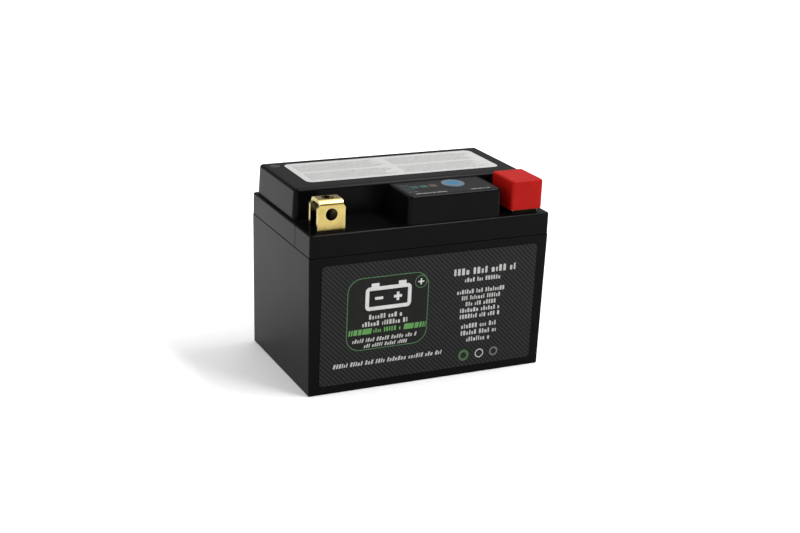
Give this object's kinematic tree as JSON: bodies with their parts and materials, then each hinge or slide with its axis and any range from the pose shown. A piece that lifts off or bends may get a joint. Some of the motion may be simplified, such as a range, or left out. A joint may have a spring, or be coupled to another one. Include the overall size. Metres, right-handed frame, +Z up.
{
  "type": "motorcycle battery",
  "caption": "Small sealed motorcycle battery with U-strap screw terminals, a lift-off red terminal cap, a push-to-test button and level lights.",
  "frame": {"origin": "middle of the underside of the case, on the surface it stands on", "axes": "+X along the length towards the positive terminal, -Y towards the front face with the large label, +Z up"},
  "size_m": [0.113, 0.0702, 0.0865],
  "materials": {
    "case_plastic": "satin black ABS with a fine moulded texture",
    "resin": "dark epoxy resin",
    "rubber": "soft black rubber",
    "brass": "plain pressed brass",
    "red_vinyl": "soft red moulded vinyl",
    "dark_label": "printed film with a dark diagonal weave",
    "pale_label": "pale grey printed film",
    "blue_button": "blue moulded plastic",
    "black_moulding": "black moulded plastic",
    "circuit_board": "green lacquered glass-fibre board",
    "white_nylon": "off-white nylon",
    "screw_steel": "zinc-plated steel",
    "wire_jacket": "white silicone wire jacket",
    "ceramic_part": "black glazed ceramic",
    "capacitor_can": "plain aluminium",
    "fish_paper": "grey-green insulating paper",
    "nickel": "nickel strip",
    "black_lead": "black silicone wire jacket",
    "red_lead": "red silicone wire jacket",
    "foam": "dark closed-cell foam",
    "cell_steel": "nickel-plated steel can",
    "cell_sleeve": "blue shrink sleeve",
    "red_lens": "tinted clear plastic",
    "amber_lens": "tinted clear plastic",
    "green_lens": "tinted clear plastic"
  },
  "bodies": {
    "housing": {"case": "case_plastic", "lid": "case_plastic", "balance_board": "circuit_board", "balance_capacitors": "capacitor_can", "balance_chip": "black_moulding", "balance_mosfets": "black_moulding", "balance_resistors": "ceramic_part", "balance_screws": "screw_steel", "balance_socket": "white_nylon", "cell_1": "cell_steel", "cell_1_contact": "nickel", "cell_1_sleeve": "cell_sleeve", "cell_2": "cell_steel", "cell_2_contact": "nickel", "cell_2_sleeve": "cell_sleeve", "cell_3": "cell_steel", "cell_3_contact": "nickel", "cell_3_sleeve": "cell_sleeve", "cell_4": "cell_steel", "cell_4_contact": "nickel", "cell_4_sleeve": "cell_sleeve", "foam_base": "foam", "foam_front": "foam", "foam_left": "foam", "foam_rear": "foam", "foam_right": "foam", "foam_top": "foam", "front_label": "dark_label", "indicator_board": "circuit_board", "indicator_label": "dark_label", "indicator_screws": "screw_steel", "indicator_socket": "white_nylon", "insulating_sheet": "fish_paper", "level_light_full": "green_lens", "level_light_half": "amber_lens", "level_light_low": "red_lens", "lid_glue_bead": "resin", "lower_cell_holder": "black_moulding", "lower_link_left": "nickel", "lower_link_right": "nickel", "negative_end_strip": "nickel", "negative_lead": "black_lead", "negative_terminal": "brass", "negative_terminal_seal": "resin", "positive_end_strip": "nickel", "positive_lead": "red_lead", "positive_terminal": "brass", "positive_terminal_seal": "resin", "sense_wire_left": "wire_jacket", "sense_wire_right": "wire_jacket", "signal_wires": "wire_jacket", "switch_body": "black_moulding", "top_label": "pale_label", "upper_cell_holder": "black_moulding", "upper_link": "nickel", "vent_plug": "rubber"},
    "terminal_cap": {"terminal_cap": "red_vinyl"},
    "test_button": {"test_button": "blue_button", "switch_plunger": "black_moulding"}
  },
  "joints": [
    {"name": "cap_lift", "type": "slide", "parent": "housing", "child": "terminal_cap", "axis": [0, 0, 1], "range_m": [0, 0.03]},
    {"name": "button_press", "type": "slide", "parent": "housing", "child": "test_button", "axis": [0, 0, -1], "range_m": [0, 0.0004], "stiffness_N_per_m": 1500, "springref_m": -0.0003}
  ]
}
